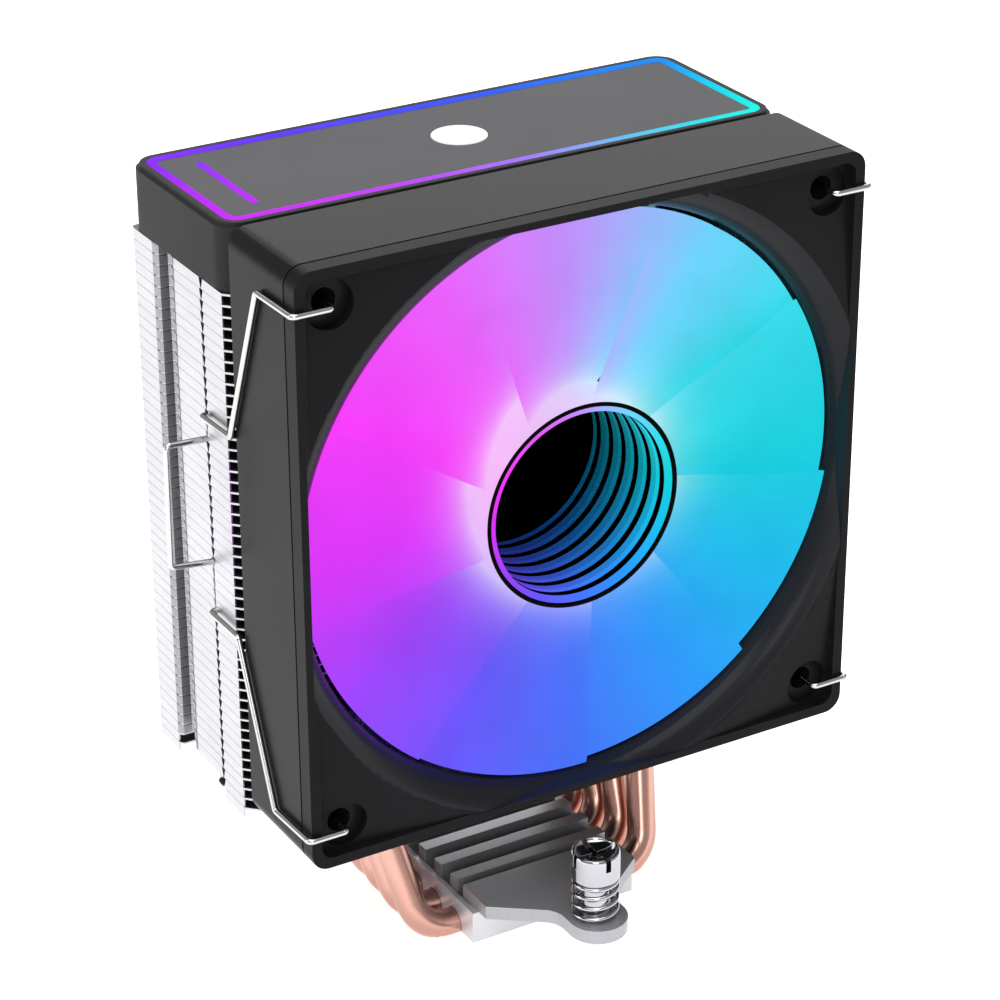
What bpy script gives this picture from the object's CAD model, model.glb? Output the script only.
import math

import bmesh
import bpy
from mathutils import Matrix, Vector


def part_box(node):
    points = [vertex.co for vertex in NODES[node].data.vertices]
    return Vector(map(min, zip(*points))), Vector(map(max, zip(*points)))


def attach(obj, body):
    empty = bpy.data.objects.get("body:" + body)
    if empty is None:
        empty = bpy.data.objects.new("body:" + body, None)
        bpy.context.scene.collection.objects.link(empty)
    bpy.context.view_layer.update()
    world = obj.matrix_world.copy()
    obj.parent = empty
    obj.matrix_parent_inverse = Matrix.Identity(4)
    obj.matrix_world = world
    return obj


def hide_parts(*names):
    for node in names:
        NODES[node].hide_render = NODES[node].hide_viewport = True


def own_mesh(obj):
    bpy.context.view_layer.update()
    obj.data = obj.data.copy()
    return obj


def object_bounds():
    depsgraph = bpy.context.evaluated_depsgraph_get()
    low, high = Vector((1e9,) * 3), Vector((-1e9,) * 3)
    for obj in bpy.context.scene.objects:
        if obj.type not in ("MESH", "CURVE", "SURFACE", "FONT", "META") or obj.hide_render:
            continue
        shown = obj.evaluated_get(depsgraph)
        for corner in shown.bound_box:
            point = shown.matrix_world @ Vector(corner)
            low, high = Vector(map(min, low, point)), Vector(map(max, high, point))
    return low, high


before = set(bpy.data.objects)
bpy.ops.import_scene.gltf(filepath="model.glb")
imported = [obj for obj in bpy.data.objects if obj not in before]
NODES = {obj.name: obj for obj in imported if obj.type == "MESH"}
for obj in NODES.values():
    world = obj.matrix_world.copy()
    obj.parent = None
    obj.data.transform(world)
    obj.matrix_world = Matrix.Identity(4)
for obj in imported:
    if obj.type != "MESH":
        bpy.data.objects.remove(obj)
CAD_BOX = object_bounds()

MM = 0.001
FLOOR_GAP = 0.0004


def middle(node):
    """The centre of a CAD node's box."""
    lo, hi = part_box(node)
    return (lo + hi) / 2


FAN = Vector((0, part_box("fan_bezel")[0].y, middle("fan_bezel").z))


# ---- camera, floor and light ----


def make_camera():
    """A long lens from the front left, 30 degrees round and 26 degrees up."""
    azimuth, elevation, roll = (math.radians(a) for a in (-30.387, 26.354, -0.225))
    back = Vector((
        math.sin(azimuth) * math.cos(elevation),
        -math.cos(azimuth) * math.cos(elevation),
        math.sin(elevation),
    ))
    right = Vector((math.cos(azimuth), math.sin(azimuth), 0))
    up = back.cross(right)
    r = math.cos(roll) * right + math.sin(roll) * up
    u = -math.sin(roll) * right + math.cos(roll) * up
    data = bpy.data.cameras.new("camera")
    data.sensor_width = 36
    data.lens = 118.01
    data.clip_end = 50
    cam = bpy.data.objects.new("camera", data)
    turn = Matrix((r, u, back)).transposed().to_4x4()
    turn.translation = FAN + Vector((-0.290364, -0.462066, 0.272524))
    cam.matrix_world = turn
    bpy.context.collection.objects.link(cam)
    bpy.context.scene.camera = cam


def area_light(name, place, target, size, power):
    data = bpy.data.lights.new(name, "AREA")
    data.shape = "RECTANGLE"
    data.size, data.size_y = size
    data.energy = power
    lamp = bpy.data.objects.new(name, data)
    lamp.location = place
    lamp.rotation_euler = (Vector(target) - Vector(place)).to_track_quat("-Z", "Y").to_euler()
    bpy.context.collection.objects.link(lamp)


def make_studio():
    world = bpy.data.worlds.new("studio")
    bpy.context.scene.world = world
    world.use_nodes = True
    back = world.node_tree.nodes["Background"]
    back.inputs["Color"].default_value = (1, 1, 1, 1)
    back.inputs["Strength"].default_value = 0.45
    area_light("key", (-0.4, -0.2, 1.4), (0, 0, 0.05), (1.4, 1.4), 22)
    area_light("side", (-1.3, 0.5, 0.45), (0, 0, 0.1), (0.5, 0.5), 4)
    area_light("rear", (0.68, 1.16, 0.86), (0, 0, 0.1), (1.5, 0.9), 8)
    area_light("front", (-0.6, -1.05, 0.5), (0, 0, 0.03), (0.5, 0.5), 3)
    scene = bpy.context.scene
    scene.view_settings.view_transform = "Standard"
    scene.cycles.max_bounces = 14
    scene.cycles.glossy_bounces = 10
    mesh = bpy.data.meshes.new("floor")
    mesh.from_pydata([(-6, -6, 0), (6, -6, 0), (6, 6, 0), (-6, 6, 0)], [], [(0, 1, 2, 3)])
    floor = bpy.data.objects.new("floor", mesh)
    floor.location.z = CAD_BOX[0].z - FLOOR_GAP
    bpy.context.collection.objects.link(floor)
    mat, bsdf = blank("floor_paper")
    bsdf.inputs["Base Color"].default_value = (0.9, 0.9, 0.9, 1)
    bsdf.inputs["Roughness"].default_value = 0.9
    bsdf.inputs["Specular IOR Level"].default_value = 0.1
    bsdf.inputs["Emission Color"].default_value = (1, 1, 1, 1)
    bsdf.inputs["Emission Strength"].default_value = 0.65
    mesh.materials.append(mat)


# ---- materials ----


def blank(name):
    mat = bpy.data.materials.new(name)
    mat.use_nodes = True
    return mat, mat.node_tree.nodes["Principled BSDF"]


def srgb(r, g, b):
    def channel(v):
        v /= 255
        return v / 12.92 if v <= 0.04045 else ((v + 0.055) / 1.055) ** 2.4

    return (channel(r), channel(g), channel(b), 1)


class Graph:
    """Short ways to add and join the shader nodes of one material."""

    def __init__(self, mat):
        self.tree = mat.node_tree
        self.bsdf = self.tree.nodes["Principled BSDF"]
        self.coord = self.add("ShaderNodeTexCoord").outputs["Object"]

    def add(self, kind, **values):
        node = self.tree.nodes.new(kind)
        for key, value in values.items():
            setattr(node, key, value)
        return node

    def join(self, a, b):
        self.tree.links.new(a, b)

    def noise(self, scale, detail=3, stretch=(1, 1, 1), rough=0.55):
        space = self.add("ShaderNodeMapping")
        space.inputs["Scale"].default_value = stretch
        self.join(self.coord, space.inputs["Vector"])
        tex = self.add("ShaderNodeTexNoise")
        tex.inputs["Scale"].default_value = scale
        tex.inputs["Detail"].default_value = detail
        tex.inputs["Roughness"].default_value = rough
        self.join(space.outputs[0], tex.inputs["Vector"])
        return tex.outputs["Fac"]

    def span(self, value, lo, hi, a=0.3, b=0.7):
        node = self.add("ShaderNodeMapRange")
        node.inputs["From Min"].default_value = a
        node.inputs["From Max"].default_value = b
        node.inputs["To Min"].default_value = lo
        node.inputs["To Max"].default_value = hi
        self.join(value, node.inputs["Value"])
        return node.outputs["Result"]

    def math(self, op, a, b=None):
        node = self.add("ShaderNodeMath", operation=op)
        for slot, v in zip(node.inputs, (a, b)):
            if v is None:
                continue
            if isinstance(v, (int, float)):
                slot.default_value = v
            else:
                self.join(v, slot)
        return node.outputs[0]

    def mix(self, factor, a, b):
        node = self.add("ShaderNodeMix", data_type="RGBA")
        for slot, v in ((node.inputs[0], factor), (node.inputs[6], a), (node.inputs[7], b)):
            if isinstance(v, (int, float, tuple)):
                slot.default_value = v
            else:
                self.join(v, slot)
        return node.outputs[2]

    def ramp(self, value, stops):
        node = self.add("ShaderNodeValToRGB")
        points = node.color_ramp.elements
        while len(points) < len(stops):
            points.new(0.5)
        for point, (at, colour) in zip(points, stops):
            point.position = at
            point.color = colour
        self.join(value, node.inputs["Fac"])
        return node.outputs["Color"]

    def edges(self, radius):
        """1 along sharp edges and 0 on flat ground."""
        bevel = self.add("ShaderNodeBevel", samples=4)
        bevel.inputs["Radius"].default_value = radius
        flat = self.add("ShaderNodeNewGeometry").outputs["Normal"]
        dot = self.add("ShaderNodeVectorMath", operation="DOT_PRODUCT")
        self.join(bevel.outputs[0], dot.inputs[0])
        self.join(flat, dot.inputs[1])
        return self.span(dot.outputs["Value"], 1.0, 0.0, 0.75, 0.99)

    def bump(self, height, strength, distance):
        node = self.add("ShaderNodeBump")
        node.inputs["Strength"].default_value = strength
        node.inputs["Distance"].default_value = distance
        self.join(height, node.inputs["Height"])
        self.join(node.outputs[0], self.bsdf.inputs["Normal"])


def surface(name, base, rough, metal=0.0, tint=0.12, spread=0.06, grain=900, depth=0.00002,
            stretch=(1, 1, 1), wear=0.0, worn=(0.5, 0.5, 0.5, 1), ior=None):
    """A base colour with cloudy variation, fine grain in bump and gloss, and worn edges."""
    mat, bsdf = blank(name)
    g = Graph(mat)
    dark = tuple(c * (1 - tint) for c in base[:3]) + (1,)
    pale = tuple(min(1, c * (1 + tint)) for c in base[:3]) + (1,)
    colour = g.mix(g.span(g.noise(45, 4), 0, 1), dark, pale)
    if wear:
        rub = g.math("MULTIPLY", g.edges(0.0004), g.span(g.noise(160, 3), 0, wear, 0.4, 0.65))
        colour = g.mix(rub, colour, worn)
    g.join(colour, bsdf.inputs["Base Color"])
    fine = g.noise(grain, 2, stretch)
    g.join(g.span(fine, rough - spread, rough + spread), bsdf.inputs["Roughness"])
    g.bump(fine, 0.35, depth)
    bsdf.inputs["Metallic"].default_value = metal
    if ior:
        bsdf.inputs["IOR"].default_value = ior
    return mat


def light_wheel(g, centre, stops):
    """Colour by direction round an axis along Y through centre."""
    parts = g.add("ShaderNodeSeparateXYZ")
    g.join(g.coord, parts.inputs[0])
    x = g.math("SUBTRACT", parts.outputs["X"], centre.x)
    z = g.math("SUBTRACT", parts.outputs["Z"], centre.z)
    angle = g.math("ARCTAN2", z, x)
    radius = g.math("SQRT", g.math("ADD", g.math("MULTIPLY", x, x), g.math("MULTIPLY", z, z)))
    turn = g.span(angle, 0, 1, -math.pi, math.pi)
    return g.ramp(turn, stops), radius


FAN_STOPS = [
    (0.000, srgb(222, 55, 254)), (0.083, srgb(161, 68, 255)), (0.167, srgb(107, 88, 255)),
    (0.250, srgb(70, 117, 254)), (0.333, srgb(45, 157, 255)), (0.417, srgb(28, 190, 240)),
    (0.500, srgb(24, 213, 226)), (0.583, srgb(50, 220, 235)), (0.667, srgb(112, 212, 255)),
    (0.750, srgb(192, 148, 255)), (0.833, srgb(236, 95, 254)), (0.917, srgb(250, 60, 255)),
    (1.000, srgb(222, 55, 254)),
]


def glowing(name, strength, glow, base, rough):
    """Frosted plastic lit from inside, its colour going round the fan's axis.
    glow is the radius, reach and share of the white near the hub, or None."""
    mat, bsdf = blank(name)
    g = Graph(mat)
    colour, radius = light_wheel(g, FAN, FAN_STOPS)
    if glow:
        start, reach, share = glow
        depth = g.math("DIVIDE", g.math("SUBTRACT", start, radius), reach)
        near = g.math("MULTIPLY", g.math("EXPONENT", depth), share)
        colour = g.mix(g.math("MINIMUM", near, 1.0), colour, (1, 1, 1, 1))
    g.join(colour, bsdf.inputs["Emission Color"])
    cloud = g.noise(60, 3)
    g.join(g.span(cloud, strength * 0.94, strength * 1.04), bsdf.inputs["Emission Strength"])
    fine = g.noise(1500, 2)
    g.join(g.span(fine, rough - 0.05, rough + 0.05), bsdf.inputs["Roughness"])
    g.bump(fine, 0.2, 0.00001)
    shade = g.mix(g.span(cloud, 0, 1), tuple(c * 0.85 for c in base[:3]) + (1,), base)
    g.join(shade, bsdf.inputs["Base Color"])
    bsdf.inputs["IOR"].default_value = 1.06
    return mat


def dress(mat, *names):
    """Gives CAD nodes that keep their shape a finish."""
    for name in names:
        for slot in NODES[name].material_slots:
            slot.material = mat


# ---- mesh helpers ----


def finish_piece(name, bm, mats, body, nodes=(), sharp=35, bevel=0.0, segments=2):
    """Turns bm into a piece that rides on body and stands for nodes."""
    bmesh.ops.recalc_face_normals(bm, faces=bm.faces)
    mesh = bpy.data.meshes.new(name)
    bm.to_mesh(mesh)
    bm.free()
    obj = bpy.data.objects.new(name, mesh)
    bpy.context.collection.objects.link(obj)
    for mat in mats if isinstance(mats, list) else [mats]:
        mesh.materials.append(mat)
    mesh.polygons.foreach_set("use_smooth", [True] * len(mesh.polygons))
    mesh.set_sharp_from_angle(angle=math.radians(sharp))
    if bevel:
        mod = obj.modifiers.new("round", "BEVEL")
        mod.width = bevel
        mod.segments = segments
        mod.limit_method = "ANGLE"
        mod.angle_limit = math.radians(sharp)
        mod.harden_normals = True
        mod.use_clamp_overlap = True
    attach(obj, body)
    if nodes:
        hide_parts(*nodes)
    return obj


def from_node(node, mats, body, bevel, sharp=35, segments=2, inlet=None):
    """The CAD part with its flat faces joined up and its edges rounded.
    Walls between the two radii of inlet round the fan's axis take the second material."""
    bm = bmesh.new()
    bm.from_mesh(NODES[node].data)
    bmesh.ops.remove_doubles(bm, verts=bm.verts, dist=1e-6)
    bmesh.ops.dissolve_limit(bm, angle_limit=math.radians(0.2), verts=bm.verts, edges=bm.edges)
    for face in bm.faces:
        spread = [math.hypot(v.co.x - FAN.x, v.co.z - FAN.z) for v in face.verts]
        if inlet and inlet[0] < min(spread) and max(spread) < inlet[1] and abs(face.normal.y) < 0.97:
            face.material_index = 1
    return finish_piece(node + "_piece", bm, mats, body, [node], sharp, bevel, segments)


def ring_faces(bm, a, b):
    """Quads between two closed loops of the same length."""
    n = len(a)
    return [bm.faces.new((a[i], a[(i + 1) % n], b[(i + 1) % n], b[i])) for i in range(n)]


def prism(bm, outline, z0, z1):
    """A closed slab from a plan outline."""
    low = [bm.verts.new((x, y, z0)) for x, y in outline]
    top = [bm.verts.new((x, y, z1)) for x, y in outline]
    bm.faces.new(low[::-1])
    bm.faces.new(top)
    ring_faces(bm, low, top)


def sweep(bm, path, radius, sides=20, floor=None):
    """A round bar with domed ends along path; floor flattens what would reach below it."""
    count = len(path)
    ahead = [(path[min(i + 1, count - 1)] - path[max(i - 1, 0)]).normalized() for i in range(count)]
    side = ahead[0].orthogonal().normalized()
    stations = []
    for i, (p, t) in enumerate(zip(path, ahead)):
        side = (side - t * side.dot(t)).normalized()
        stations.append((p, t, side.copy()))
    dome = [(0.97, 0.25), (0.8, 0.6), (0.45, 0.9)]
    rows = []
    p, t, s = stations[0]
    rows += [(p + t * radius * (1 - h), t, s, radius * k) for k, h in dome[::-1]]
    rows += [(p, t, s, radius) for p, t, s in stations]
    rows[len(dome)] = (path[0] + ahead[0] * radius, ahead[0], stations[0][2], radius)
    rows[-1] = (path[-1] - ahead[-1] * radius, ahead[-1], stations[-1][2], radius)
    p, t, s = stations[-1]
    rows += [(p - t * radius * (1 - h), t, s, radius * k) for k, h in dome]
    loops = []
    for p, t, s, r in rows:
        u = t.cross(s)
        loop = []
        for k in range(sides):
            a = 2 * math.pi * k / sides
            q = p + (s * math.cos(a) + u * math.sin(a)) * r
            if floor is not None:
                q.z = max(q.z, floor)
            loop.append(bm.verts.new(q))
        loops.append(loop)
    for a, b in zip(loops, loops[1:]):
        ring_faces(bm, a, b)
    bm.faces.new(loops[0][::-1])
    bm.faces.new(loops[-1])


def round_path(points, bend, steps):
    """The corners of points become arcs of radius bend."""
    path = [points[0]]
    for a, p, b in zip(points, points[1:], points[2:]):
        u, v = (p - a).normalized(), (b - p).normalized()
        angle = u.angle(v)
        if angle < 0.01:
            path.append(p)
            continue
        trim = bend * math.tan(angle / 2)
        centre = p + (v - u).normalized() * (bend / math.cos(angle / 2))
        start = p - u * trim - centre
        axis = u.cross(v).normalized()
        for k in range(steps + 1):
            path.append(centre + Matrix.Rotation(angle * k / steps, 3, axis) @ start)
    path.append(points[-1])
    return path


def lathe(bm, profile, place, sides=96, closed=True):
    """Turns an (r, z) profile round an axis; place maps (x, y, z) to the row frame."""
    loops = []
    for r, z in profile:
        if r < 1e-7:
            loops.append([bm.verts.new(place(0, 0, z))])
        else:
            loops.append([
                bm.verts.new(place(
                    r * math.cos(2 * math.pi * k / sides), r * math.sin(2 * math.pi * k / sides), z))
                for k in range(sides)
            ])
    pairs = list(zip(loops, loops[1:]))
    if closed:
        pairs.append((loops[-1], loops[0]))
    made = []
    for a, b in pairs:
        if len(a) == 1 and len(b) == 1:
            continue
        if len(a) == 1 or len(b) == 1:
            tip, rim = (a[0], b) if len(a) == 1 else (b[0], a)
            made.append([bm.faces.new((tip, rim[k], rim[(k + 1) % sides])) for k in range(sides)])
        else:
            made.append(ring_faces(bm, a, b))
    return made


def in_fan(x, y, z):
    """Fan measure in mm to the row frame: z = 0 is the front face and -z runs back."""
    return FAN + Vector((x, -z, y)) * MM


# ---- fan ----

HUB_R = 20.8
ROOT_R = 20.2
TIP_R = 57.2
BLADES = 9
INLET = (0.05795, 0.0646)


def blade_point(s, c, side):
    """A point of a blade's skin: s runs from root to tip and c along the chord, both 0 to 1."""
    r = ROOT_R + (TIP_R - ROOT_R) * s
    a = math.radians(-17 * s + 10 * s * s - (1.45 - 0.05 * s) * 360 / BLADES * c)
    z = -4.3 - 0.6 * (1 - s) - (9.6 - 7.0 * s) * (c + 0.12 * math.sin(math.pi * c))
    t = (1.5 - 0.6 * s) * (0.12 + 0.88 * math.sin(math.pi * (0.04 + 0.92 * c)))
    return r * math.cos(a), r * math.sin(a), z + side * t / 2


def make_blades(mat):
    """The nine blades as one piece, each a closed skin round its two faces."""
    bm = bmesh.new()
    span, chord = 22, 22
    for i in range(BLADES):
        turn = Matrix.Rotation(2 * math.pi * i / BLADES, 2)
        skins = []
        for side in (1, -1):
            skins.append([[None] * (chord + 1) for _ in range(span + 1)])
            for j in range(span + 1):
                s = j / span
                ease = 0.012 * max(0.0, (s - 0.9) / 0.1) ** 2
                for k in range(chord + 1):
                    c = ease + (1 - 2 * ease) * k / chord
                    x, y, z = blade_point(s, c, side)
                    v = turn @ Vector((x, y))
                    skins[-1][j][k] = bm.verts.new(in_fan(v.x, v.y, z))
        up, down = skins
        for j in range(span):
            for k in range(chord):
                bm.faces.new((up[j][k], up[j][k + 1], up[j + 1][k + 1], up[j + 1][k]))
                bm.faces.new((down[j][k], down[j + 1][k], down[j + 1][k + 1], down[j][k + 1]))
        rim = (
            [(j, 0) for j in range(span)] + [(span, k) for k in range(chord)]
            + [(j, chord) for j in range(span, 0, -1)] + [(0, k) for k in range(chord, 0, -1)]
        )
        for (a, b), (c, d) in zip(rim, rim[1:] + rim[:1]):
            bm.faces.new((up[a][b], up[c][d], down[c][d], down[a][b]))
    finish_piece("fan_blades", bm, mat, "rotor", ["impeller"], 55)


def make_hub(black, glow, light, lens_face, lens_back, mirror):
    """The hub cup with its lit edge, and behind a clear window a light ring over a mirror."""
    bm = bmesh.new()
    made = lathe(bm, [
        (HUB_R - 0.15, -20.6), (HUB_R, -20.4), (HUB_R, -2.3), (HUB_R - 0.1, -2.1), (HUB_R - 0.3, -2.0),
        (20.15, -2.0), (20.0, -2.15), (20.0, -6.0), (0, -6.0), (0, -7.4), (1.5, -7.4), (1.5, -10),
        (3, -10), (3, -7.05), (18.65, -7.05), (18.65, -20.6),
    ], in_fan, 128, closed=True)
    for face in made[0] + made[1]:
        face.material_index = 1
    finish_piece("fan_hub", bm, [black, glow], "rotor", [], 35)

    bm = bmesh.new()
    made = lathe(bm, [
        (19.9, -5), (19.9, -2.55), (19.85, -2.5), (18.95, -2.5), (18.9, -2.55), (18.9, -3.82), (18.9, -5),
    ], in_fan, 128)
    for face in made[0] + made[5] + made[6]:
        face.material_index = 1
    finish_piece("hub_light", bm, [light, black], "rotor", ["hub_light_ring"], 35)

    bm = bmesh.new()
    made = lathe(bm, [(0, -2.05), (19.9, -2.05), (19.9, -2.35), (0, -2.35)], in_fan, 128, closed=False)
    for face in made[2]:
        face.material_index = 1
    finish_piece("hub_window", bm, [lens_face, lens_back], "rotor", ["hub_lens"], 35)

    bm = bmesh.new()
    lathe(bm, [(0, -4.6), (18.75, -4.6), (18.8, -4.65), (18.8, -5), (0, -5)], in_fan, 128, closed=False)
    finish_piece("hub_glass", bm, mirror, "rotor", ["hub_mirror"], 35)


# ---- fin tower ----


def fin_half(w, front, notch, start, deep, back):
    """Right half of a fin's outline from above, front to back."""
    wave = [
        (0.15, start - 0.9), (0.6, start - 0.2), (1.5, start + 0.5), (deep - 0.7, start + 1.3),
        (deep - 0.15, start + 2.2), (deep, start + 3.2),
    ]
    rise = [(deep, 24.3), (deep - 0.3, 25.2), (deep - 1, 25.75), (deep - 1.9, 25.7), (0.75, 25.6), (0.2, 26)]
    return (
        [(w - 2.8, front), (w - 0.8, front + 1.9), (w, front + 2.8)],
        [(w, notch - 0.68), (w - 1.4, notch - 0.64), (w - 1.4, notch + 0.64), (w, notch + 0.68)],
        [(w, start - 2)] + [(w - d, y) for d, y in wave],
        [(w - d, y) for d, y in rise] + [(w, 26.6)],
        [(w, back - 1.2), (w - 0.35, back - 0.35), (w - 1.2, back)],
    )


def strip(bm, path, z_top, z_low, thick, slant=(0, 0), ripple=0.0):
    """A thin upright wall along path, with its lower corners run out by slant at each end.
    With ripple it stands a little proud and its two long edges wave up and down."""
    inner, proud = [], []
    for i in range(len(path)):
        a, b = Vector(path[max(i - 1, 0)]), Vector(path[min(i + 1, len(path) - 1)])
        t = (b - a).normalized()
        side = Vector((-t.y, t.x))
        proud.append(Vector(path[i]) - side * (0.12 if ripple else 0))
        inner.append(proud[-1] + side * thick)
    path = proud
    ends = [
        (Vector(path[0]) - Vector(path[1])).normalized() * slant[0],
        (Vector(path[-1]) - Vector(path[-2])).normalized() * slant[1],
    ]
    rows = []
    for pts, z in ((path, z_top), (inner, z_top), (inner, z_low), (path, z_low)):
        last = len(pts) - 1
        row = [
            Vector((p[0], p[1], z + ripple * math.sin(2 * math.pi * i / last)))
            for i, p in enumerate(pts)
        ]
        if z == z_low:
            row[0] += ends[0].to_3d()
            row[-1] += ends[1].to_3d()
        rows.append([bm.verts.new(v * MM) for v in row])
    for a, b in zip(rows, rows[1:] + rows[:1]):
        for i in range(len(path) - 1):
            bm.faces.new((a[i], a[i + 1], b[i + 1], b[i]))
    bm.faces.new([r[0] for r in rows][::-1])
    bm.faces.new([r[-1] for r in rows])


def make_fins(mats):
    """50 stacked sheets with folded side walls; mats are for the metal, the recess and the sheets."""
    low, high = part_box("cooling_fins")
    w = high.x / MM
    front, back = low.y / MM, high.y / MM
    sheet_t, pitch, notch = 0.4, 2.19, 6.2
    top = high.z / MM
    count = 50
    sheet_area = 0.0002
    for name, node, wanted, start, deep in (
        ("upper_fins", "cooling_fins", range(2, count), 19.8, 3.6),
        ("lower_fins", "lowest_fins", range(2), 9.9, 9.0),
    ):
        bm = bmesh.new()
        corner, slot_pts, dip, rise, tail = fin_half(w, front, notch, start, deep, back)
        half = corner + slot_pts + dip + rise + tail
        outline = half + [(-x, y) for x, y in half[::-1]]
        for i in wanted:
            z = top - (count - 1 - i) * pitch
            prism(bm, [(x * MM, y * MM) for x, y in outline], (z - sheet_t) * MM, z * MM)
            z0, z1 = z - sheet_t + 0.02, z - pitch + 0.07
            runs = [([corner[-1], slot_pts[0]], (0, 0.6)), ([rise[-1], tail[0]], (0, 0))]
            if deep < 5:
                runs.append(([slot_pts[-1], dip[0]], (0.6, 0)))
            for path, slant in runs:
                strip(bm, path, z0, z1, 0.3, slant)
                strip(bm, [(-x, y) for x, y in path[::-1]], z0, z1, 0.3, slant[::-1])
            if deep < 5:
                seen = len(bm.faces)
                wave = dip + rise
                strip(bm, wave, z - 0.02, z1 + 0.28, 0.28, ripple=0.5)
                strip(bm, [(-x, y) for x, y in wave[::-1]], z - 0.02, z1 + 0.28, 0.28, ripple=-0.5)
                bm.faces.ensure_lookup_table()
                for face in bm.faces[seen:]:
                    face.material_index = 1
        for face in bm.faces:
            face.normal_update()
            if abs(face.normal.z) > 0.9 and face.calc_area() > sheet_area:
                face.material_index = 2
        finish_piece(name, bm, mats, "cooler", [node], 30)


# ---- base ----


def make_pipes(mat):
    """Each pipe runs down one side, through the block and up the other; its underside is milled flat."""
    foot, elbow, bend, r = 26.3, 30.2, 7.5, 2.99
    for i in range(4):
        node = f"heat_pipe_{i + 1}"
        lo, hi = (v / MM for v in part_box(node))
        lane = (i - 1.5) * 7.9
        y = hi.y - 3 if hi.y - 3 > lane + 0.1 else lo.y + 3
        x, top = hi.x - 3, hi.z
        corners = [
            Vector(p) * MM for p in (
                (-x, y, top), (-x, y, elbow), (-foot, lane, 0.97),
                (foot, lane, 0.97), (x, y, elbow), (x, y, top))
        ]
        bm = bmesh.new()
        sweep(bm, round_path(corners, bend * MM, 14), r * MM, 36, floor=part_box(node)[0].z)
        finish_piece(f"copper_pipe_{i + 1}", bm, mat, "cooler", [node], 40)


def carve(bm, cutters):
    """bm with the cutter solids taken out of it."""
    objs = []
    for part in [bm] + cutters:
        bmesh.ops.recalc_face_normals(part, faces=part.faces)
        mesh = bpy.data.meshes.new("tool")
        part.to_mesh(mesh)
        part.free()
        objs.append(bpy.data.objects.new("tool", mesh))
        bpy.context.collection.objects.link(objs[-1])
    for cutter in objs[1:]:
        mod = objs[0].modifiers.new("cut", "BOOLEAN")
        mod.object = cutter
        mod.operation = "DIFFERENCE"
        mod.solver = "EXACT"
    depsgraph = bpy.context.evaluated_depsgraph_get()
    out = bmesh.new()
    out.from_mesh(objs[0].evaluated_get(depsgraph).to_mesh())
    for obj in objs:
        bpy.data.objects.remove(obj)
    return out


def block(lo, hi):
    bm = bmesh.new()
    (x0, y0, z0), (x1, y1, z1) = lo, hi
    prism(bm, [(x0, y0), (x1, y0), (x1, y1), (x0, y1)], z0, z1)
    return bm


def make_screw(end, chrome):
    """A pan screw with a dished, cross-cut head, a waisted shank and a retainer groove."""
    node = end + "_screw"
    lo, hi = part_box(node)
    axis = (lo + hi) / 2
    head, low = hi.z / MM, lo.z / MM

    def place(x, y, z):
        return Vector((axis.x + x * MM, axis.y + y * MM, z * MM))

    bm = bmesh.new()
    lathe(bm, [
        (0, head - 1.05), (2.6, head - 0.95), (3.7, head - 0.72), (4.1, head - 0.4), (4.2, head - 0.08),
        (4.28, head), (4.56, head), (4.72, head - 0.2), (4.84, head - 0.5), (4.87, head - 0.9),
        (4.87, 19.05), (4.8, 18.8), (4.6, 18.7), (3.3, 18.7), (3.1, 18.5), (3.1, 16.6), (2.65, 16.2),
        (2.65, 12.9), (3.1, 12.5), (3.1, 6.95), (2.5, 6.95), (2.5, 6.15), (3.1, 6.15), (3.1, low + 0.25),
        (2.85, low), (1.9, low), (1.65, low + 0.25), (1.65, 15), (0, 15.5),
    ], place, 72, closed=False)
    half = 0.55 * MM
    reach, z0, z1 = 6 * MM, (head - 2.7) * MM, (head + 1) * MM
    apart = 0.0001
    slots = [
        block((axis.x - reach, axis.y - half, z0), (axis.x + reach, axis.y + half, z1)),
        block((axis.x - half, axis.y - reach, z0), (axis.x + half, axis.y + reach, z1 + apart)),
    ]
    finish_piece(end + "_spring_screw", carve(bm, slots), chrome, end + "_screw", [node], 32, 0.00012)


def make_spring(end, mat):
    """Four turns of round wire with flattened end turns; it shortens as the screw is pressed."""
    node = end + "_spring"
    lo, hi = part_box(node)
    axis = (lo + hi) / 2
    wire, coil, turns, steps = 0.45 * MM, 4.35 * MM, 4, 160
    z0, z1 = lo.z + wire + 0.00001, hi.z - wire - 0.00001

    def rise(t):
        if t < 0.14:
            return 0.05 * t / 0.14
        return 0.95 + 0.05 * (t - 0.86) / 0.14 if t > 0.86 else 0.05 + 0.9 * (t - 0.14) / 0.72

    path = []
    for i in range(steps + 1):
        a = 2 * math.pi * turns * i / steps
        path.append(Vector((
            axis.x + coil * math.cos(a), axis.y + coil * math.sin(a), z0 + (z1 - z0) * rise(i / steps))))
    bm = bmesh.new()
    sweep(bm, path, wire * 0.99, 16)
    spring = finish_piece(end + "_coil", bm, mat, end + "_slide", [node], 50)
    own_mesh(spring)


def make_base(milled, plate, copper, chrome, steel, springs):
    from_node("base_block", milled, "cooler", 0.00012, 25)
    from_node("mounting_plate", plate, "cooler", 0.00018, 25)
    make_pipes(copper)
    for end in ("front", "rear"):
        make_screw(end, chrome)
        make_spring(end, springs)
        from_node(end + "_retainer", steel, end + "_slide", 0.00008)


# ---- cover ----


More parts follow.
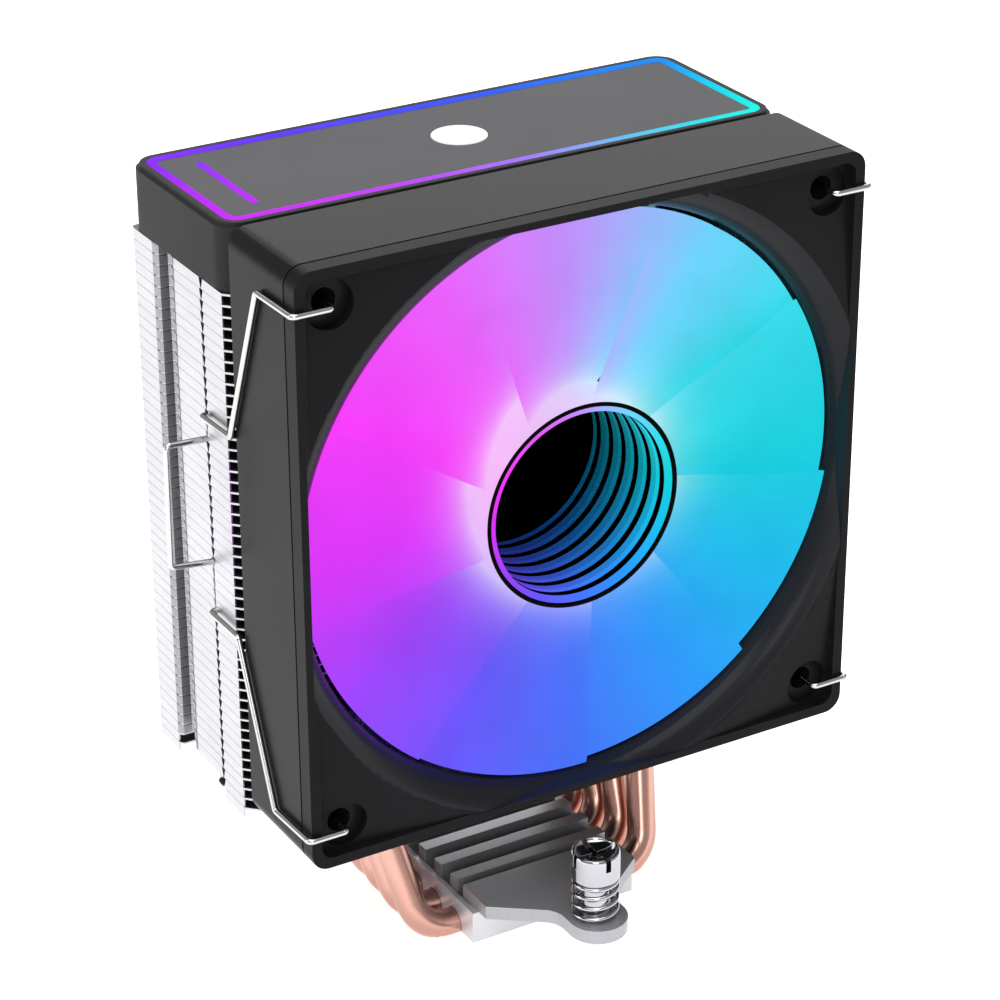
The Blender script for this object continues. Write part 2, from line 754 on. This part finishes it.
def make_cover(shell, plate, light, emblem, accent):
    """The cover's pieces, and a plain rounded bar inlaid in its top."""
    from_node("cover_shell", shell, "cooler", 0.0002, 30)
    from_node("cover_light_ring", light, "cooler", 0.0001, 30)
    from_node("cover_top_plate", plate, "cooler", 0.00025, 30)
    from_node("cover_emblem", emblem, "cooler", 0.00015, 30)
    lo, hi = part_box("cover_top_plate")
    along, wide = 0.0225, 0.0016
    x, y = lo.x + 0.0068, (lo.y + hi.y) / 2
    outline = []
    for cx, cy, start in ((x, y + along / 2, 0), (x, y - along / 2, math.pi)):
        for k in range(13):
            a = start + math.pi * k / 12
            outline.append((cx + wide / 2 * math.cos(a), cy + wide / 2 * math.sin(a)))
    bm = bmesh.new()
    prism(bm, outline, hi.z - 0.0002, hi.z + 0.00008)
    finish_piece("accent_bar", bm, accent, "cooler", [], 30, 0.00003)


# ---- the finishes and the pieces ----

FADED = (0.09, 0.09, 0.095, 1)


def strip_glow(name):
    """The cover's light strip: magenta to cyan from left to right, bluer along the back edge."""
    lo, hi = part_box("cover_light_ring")
    mat, bsdf = blank(name)
    g = Graph(mat)
    parts = g.add("ShaderNodeSeparateXYZ")
    g.join(g.coord, parts.inputs[0])
    along = g.span(parts.outputs["X"], 0, 1, lo.x, hi.x)
    across = g.span(parts.outputs["Y"], 0, 1, lo.y + 0.003, hi.y - 0.003)
    front = g.ramp(along, [
        (0.0, srgb(205, 38, 255)), (0.17, srgb(210, 48, 255)), (0.36, srgb(190, 75, 255)),
        (0.55, srgb(165, 130, 254)), (0.72, srgb(105, 189, 244)), (0.88, srgb(39, 233, 241)),
        (1.0, srgb(8, 249, 234)),
    ])
    rear = g.ramp(along, [
        (0.0, srgb(143, 42, 254)), (0.2, srgb(105, 55, 255)), (0.4, srgb(79, 73, 255)),
        (0.6, srgb(58, 87, 255)), (0.8, srgb(35, 120, 253)), (1.0, srgb(19, 150, 253)),
    ])
    g.join(g.mix(across, front, rear), bsdf.inputs["Emission Color"])
    cloud = g.noise(90, 2)
    g.join(g.span(cloud, 0.94, 1.02), bsdf.inputs["Emission Strength"])
    fine = g.noise(2500, 2)
    g.join(g.span(fine, 0.4, 0.5), bsdf.inputs["Roughness"])
    g.bump(fine, 0.2, 0.000004)
    g.join(g.mix(g.span(cloud, 0, 1), (0.008, 0.008, 0.01, 1), (0.012, 0.012, 0.014, 1)),
           bsdf.inputs["Base Color"])
    bsdf.inputs["IOR"].default_value = 1.01
    return mat


def window_materials():
    """The hub window: clear from outside, and a part mirror seen from within."""
    clear = bpy.data.materials.new("hub_clear")
    part = bpy.data.materials.new("hub_part_mirror")
    for mat in (clear, part):
        mat.use_nodes = True
        tree = mat.node_tree
        g = Graph(mat)
        tree.nodes.remove(tree.nodes["Principled BSDF"])
        end = tree.nodes["Material Output"].inputs["Surface"]
        thin = tree.nodes.new("ShaderNodeBsdfTransparent")
        cloud = g.span(g.noise(60, 2), 0, 1)
        if mat is clear:
            g.join(g.mix(cloud, (0.97, 0.97, 0.98, 1), (1, 1, 1, 1)), thin.inputs["Color"])
            g.join(thin.outputs[0], end)
            continue
        shine = tree.nodes.new("ShaderNodeBsdfGlossy")
        shine.inputs["Roughness"].default_value = 0.0
        g.join(g.mix(cloud, (0.69, 0.69, 0.7, 1), (0.73, 0.73, 0.74, 1)), shine.inputs["Color"])
        mix = tree.nodes.new("ShaderNodeMixShader")
        g.join(tree.nodes.new("ShaderNodeNewGeometry").outputs["Backfacing"], mix.inputs[0])
        g.join(shine.outputs[0], mix.inputs[1])
        g.join(thin.outputs[0], mix.inputs[2])
        g.join(mix.outputs[0], end)
    return clear, part


def make_all():
    milled = surface("milled_aluminium", (0.64, 0.64, 0.67, 1), 0.33, 0.4, 0.03, 0.03, 4000,
                     0.000001, (1, 1, 1), 0.3, (0.7, 0.7, 0.72, 1))
    satin = surface("satin_aluminium", (0.36, 0.36, 0.38, 1), 0.3, 0.6, 0.03, 0.03, 4000, 0.000001,
                    (1, 1, 1), 0.3, (0.65, 0.65, 0.67, 1))
    copper = surface("copper", (0.60, 0.33, 0.27, 1), 0.24, 1, 0.03, 0.03, 5000, 0.0000005)
    chrome = surface("chrome", (0.44, 0.44, 0.46, 1), 0.1, 1, 0.03, 0.03, 1500, 0.000001)
    steel = surface("blued_steel", (0.2, 0.2, 0.22, 1), 0.35, 1, wear=0.4)
    fins = surface("rolled_aluminium", (0.45, 0.45, 0.472, 1), 0.36, 1, 0.04, 0.05, 1500, 0.000002,
                   (1, 0.1, 1))
    shade = surface("fin_recess", (0.28, 0.28, 0.29, 1), 0.42, 1, 0.05, 0.05, 1500, 0.000003)
    gap = surface("fin_gap", (0.11, 0.11, 0.115, 1), 0.5, 1, 0.05, 0.05, 1500, 0.000003)
    cover = surface("cover_plastic", (0.022, 0.022, 0.023, 1), 0.45, 0, 0.1, 0.04, 5000, 0.000005,
                    wear=0.2, worn=FADED, ior=1.12)
    top = surface("cover_top", (0.055, 0.055, 0.06, 1), 0.42, 0, 0.06, 0.04, 6000, 0.000004, ior=1.16)
    bezel = surface("bezel_plastic", (0.008, 0.008, 0.009, 1), 0.36, 0, 0.1, 0.03, 5000, 0.000003,
                    wear=0.12, worn=FADED, ior=1.12)
    body = surface("frame_plastic", (0.01, 0.01, 0.011, 1), 0.24, 0, 0.1, 0.03, 5000, 0.000002,
                   wear=0.12, worn=FADED, ior=1.12)
    duct = surface("duct_plastic", (0.012, 0.012, 0.014, 1), 0.27, 0, 0.1, 0.03, 5000, 0.000002,
                   ior=1.2)
    hub = surface("hub_plastic", (0.002, 0.002, 0.002, 1), 0.35, 0, 0.1, 0.04, 5000, 0.000004,
                  ior=1.04)
    board = surface("board", (0.03, 0.12, 0.07, 1), 0.4, 0, 0.1, 0.05, 1500, 0.000004)
    rubber = surface("rubber", (0.02, 0.02, 0.02, 1), 0.8, 0, 0.1, 0.05, 2500, 0.00001)
    brass = surface("brass", (0.72, 0.55, 0.28, 1), 0.3, 1, 0.05, 0.05, 1500, 0.000003)
    ground = surface("ground_steel", (0.6, 0.6, 0.62, 1), 0.22, 1, 0.05, 0.05, 1500, 0.000003)
    wire = surface("clip_wire", (0.5, 0.49, 0.48, 1), 0.18, 1, 0.03, 0.04, 2000, 0.000001)
    coil = surface("coil", (0.6, 0.25, 0.1, 1), 0.35, 1, 0.1, 0.05, 3000, 0.00001)
    white = surface("emblem", (0.58, 0.58, 0.61, 1), 0.4, 0, 0.03, 0.04, 4000, 0.000003)
    mirror = surface("mirror", (0.92, 0.92, 0.94, 1), 0.0, 1, 0.01, 0.0, 500, 0.0)
    dress(board, "cover_led_board", "motor_board", "hub_led_board")
    dress(rubber, "vibration_pads", "magnet_ring")
    dress(brass, "bearing_tube")
    dress(ground, "bearings", "stator_core", "shaft", "rotor_yoke")
    dress(coil, "windings")
    dark = (0.003, 0.003, 0.004, 1)
    blades = glowing("blade_glow", 0.97, (HUB_R * MM, 0.0034, 0.5), dark, 0.4)
    ring = glowing("hub_glow", 1.0, None, dark, 0.4)
    strip_light = strip_glow("cover_glow")

    make_base(milled, satin, copper, chrome, steel, chrome)
    make_fins([fins, shade, gap])
    make_cover(cover, top, strip_light, white, strip_light)
    for node, skin in (("fan_bezel", bezel), ("fan_housing", body)):
        piece = from_node(node, [skin, duct], "cooler", 0.00035, 30, 3, INLET)
        piece.data.set_sharp_from_angle(angle=math.radians(5))
    from_node("fan_clip_left", wire, "cooler", 0, 40)
    from_node("fan_clip_right", wire, "cooler", 0, 40)
    make_blades(blades)
    clear, part = window_materials()
    make_hub(hub, blades, ring, clear, part, mirror)


make_camera()
make_studio()
make_all()
